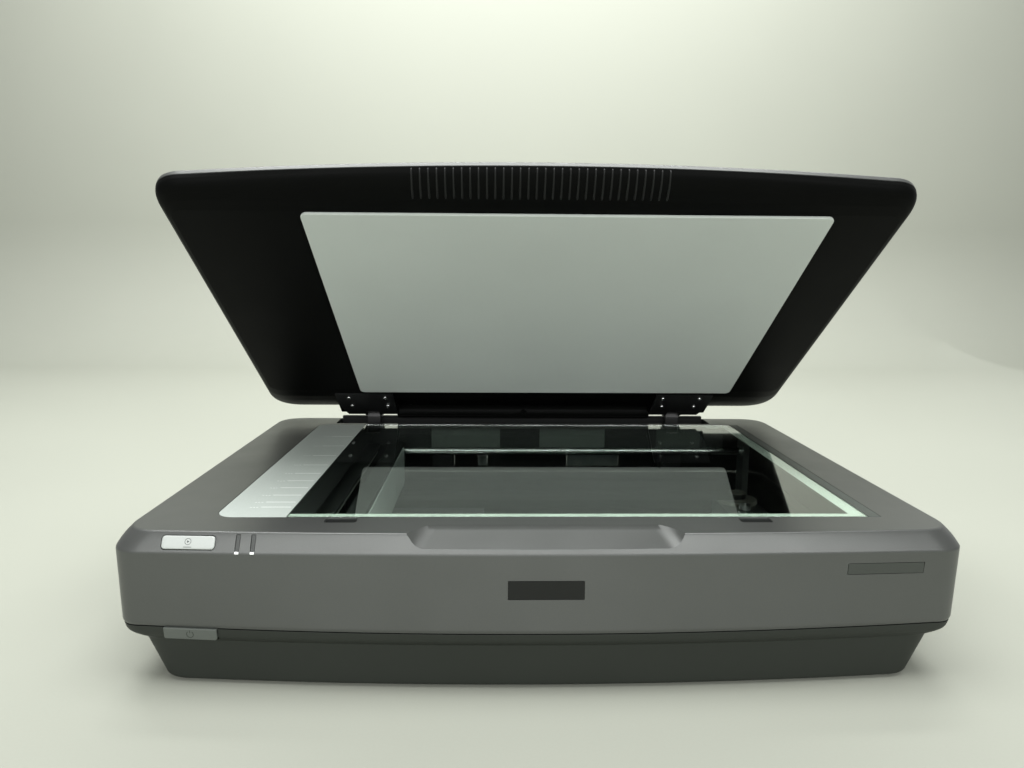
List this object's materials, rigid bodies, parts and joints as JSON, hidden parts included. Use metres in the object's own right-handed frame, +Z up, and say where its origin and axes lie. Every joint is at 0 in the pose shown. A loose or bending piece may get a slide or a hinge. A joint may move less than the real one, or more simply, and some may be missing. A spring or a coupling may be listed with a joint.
{
  "type": "flatbed scanner",
  "caption": "Large-format flatbed document scanner with a hinged, lift-up lid, glass platen and a belt-driven scanning carriage under the glass.",
  "frame": {"origin": "on the table, under the middle of the body", "axes": "+X to the right as seen from the front, +Y to the back, +Z up"},
  "size_m": [0.656, 0.4578, 0.408],
  "materials": {
    "housing_grey": "satin grey moulding",
    "case_grey": "darker textured moulding",
    "lid_black": "satin black moulding",
    "mat_white": "matte white mat",
    "platen_glass": "clear float glass, faint green",
    "strip_silver": "fine silver paint",
    "rail_dark": "dark grey",
    "white_plastic": "matte white",
    "plate_dark": "dark plate",
    "label_grey": "dark grey plate",
    "button_silver": "silver paint",
    "switch_black": "matte",
    "indicator_clear": "tinted light pipe",
    "power_button_grey": "satin",
    "rubber": "matte rubber",
    "carriage_black": "matte black",
    "side_plate_steel": "bare sheet",
    "lamp_glass": "frosted tube",
    "mirror": "front-silvered glass",
    "lens_black": "black anodised look",
    "circuit_board": "solder mask",
    "bright_steel": "ground",
    "plated_steel": "zinc plated sheet",
    "belt_rubber": "toothed belt",
    "gear_plastic": "natural acetal",
    "motor_black": "satin",
    "cable_white": "flat cable",
    "socket_black": "matte",
    "hinge_black": "black painted steel"
  },
  "bodies": {
    "base": {"upper_housing": "housing_grey", "lower_case": "case_grey", "platen_glass": "platen_glass", "scale_strip": "strip_silver", "right_rail": "rail_dark", "calibration_strip": "white_plastic", "name_plate": "plate_dark", "label_plate": "label_grey", "start_switch": "switch_black", "power_switch": "switch_black", "indicator_left": "indicator_clear", "indicator_right": "indicator_clear", "foot_front_left": "rubber", "foot_front_right": "rubber", "foot_rear_left": "rubber", "foot_rear_right": "rubber", "guide_rod": "bright_steel", "rod_clamp_left": "plated_steel", "rod_clamp_right": "plated_steel", "front_rail": "plated_steel", "drive_belt": "belt_rubber", "stepper_motor": "motor_black", "motor_bracket": "plated_steel", "idle_bracket": "plated_steel", "tension_spring": "bright_steel", "main_board": "circuit_board", "power_supply": "plated_steel", "ribbon_cable": "cable_white", "power_inlet": "socket_black", "usb_socket": "plated_steel", "option_cover": "plated_steel", "hinge_socket_left": "socket_black", "hinge_socket_right": "socket_black"},
    "carriage": {"carriage_housing": "carriage_black", "carriage_cover": "carriage_black", "carriage_side_plate": "side_plate_steel", "scan_lamp": "lamp_glass", "mirror_first": "mirror", "mirror_second": "mirror", "mirror_third": "mirror", "lens_barrel": "lens_black", "sensor_board": "circuit_board", "belt_clamp": "carriage_black"},
    "drive_gear": {"drive_gear": "gear_plastic"},
    "idle_pulley": {"idle_pulley": "gear_plastic"},
    "motor_shaft": {"motor_pinion": "bright_steel"},
    "start_button": {"start_button": "button_silver"},
    "power_button": {"power_button": "power_button_grey"},
    "transport_lock": {"transport_lock": "switch_black"},
    "hinge_posts": {"hinge_post_left": "hinge_black", "hinge_post_right": "hinge_black", "hinge_pin_left": "bright_steel", "hinge_pin_right": "bright_steel"},
    "lid": {"lid_tray": "lid_black", "lid_cover": "housing_grey", "document_mat": "mat_white", "hinge_cowl": "lid_black", "hinge_bracket_left": "hinge_black", "hinge_bracket_right": "hinge_black"}
  },
  "joints": [
    {"name": "hinge_lift", "type": "slide", "parent": "base", "child": "hinge_posts", "axis": [0, 0, 1], "range_m": [0, 0.025]},
    {"name": "lid_hinge", "type": "hinge", "parent": "hinge_posts", "child": "lid", "pos_m": [0, 0.214, 0.138], "axis": [-1, 0, 0], "range_deg": [-36.46, 38.5]},
    {"name": "carriage_slide", "type": "slide", "parent": "base", "child": "carriage", "axis": [1, 0, 0], "range_m": [-0.02, 0.424]},
    {"name": "drive_gear_spin", "type": "hinge", "parent": "base", "child": "drive_gear", "pos_m": [0.26, 0.12, 0.046], "axis": [0, 0, 1], "continuous": true},
    {"name": "idle_pulley_spin", "type": "hinge", "parent": "base", "child": "idle_pulley", "pos_m": [-0.26, 0.12, 0.046], "axis": [0, 0, 1], "continuous": true},
    {"name": "motor_shaft_spin", "type": "hinge", "parent": "base", "child": "motor_shaft", "pos_m": [0.26, 0.09185, 0.044], "axis": [0, 0, 1], "continuous": true},
    {"name": "start_press", "type": "slide", "parent": "base", "child": "start_button", "axis": [0.0379, 0.8789, -0.4755], "range_m": [0, 0.0012], "stiffness_N_per_m": 400},
    {"name": "power_press", "type": "slide", "parent": "base", "child": "power_button", "axis": [0.0947, 0.9862, 0.1356], "range_m": [0, 0.0015], "stiffness_N_per_m": 500},
    {"name": "transport_lock_turn", "type": "hinge", "parent": "base", "child": "transport_lock", "pos_m": [-0.205, -0.11, 0.004], "axis": [0, 0, 1], "range_deg": [0, 90]}
  ],
  "couplings": [
    {"joint": "drive_gear_spin", "follows": "carriage_slide", "rad_per_m": -112.36},
    {"joint": "idle_pulley_spin", "follows": "carriage_slide", "rad_per_m": -112.36},
    {"joint": "motor_shaft_spin", "follows": "carriage_slide", "rad_per_m": 411.99}
  ]
}
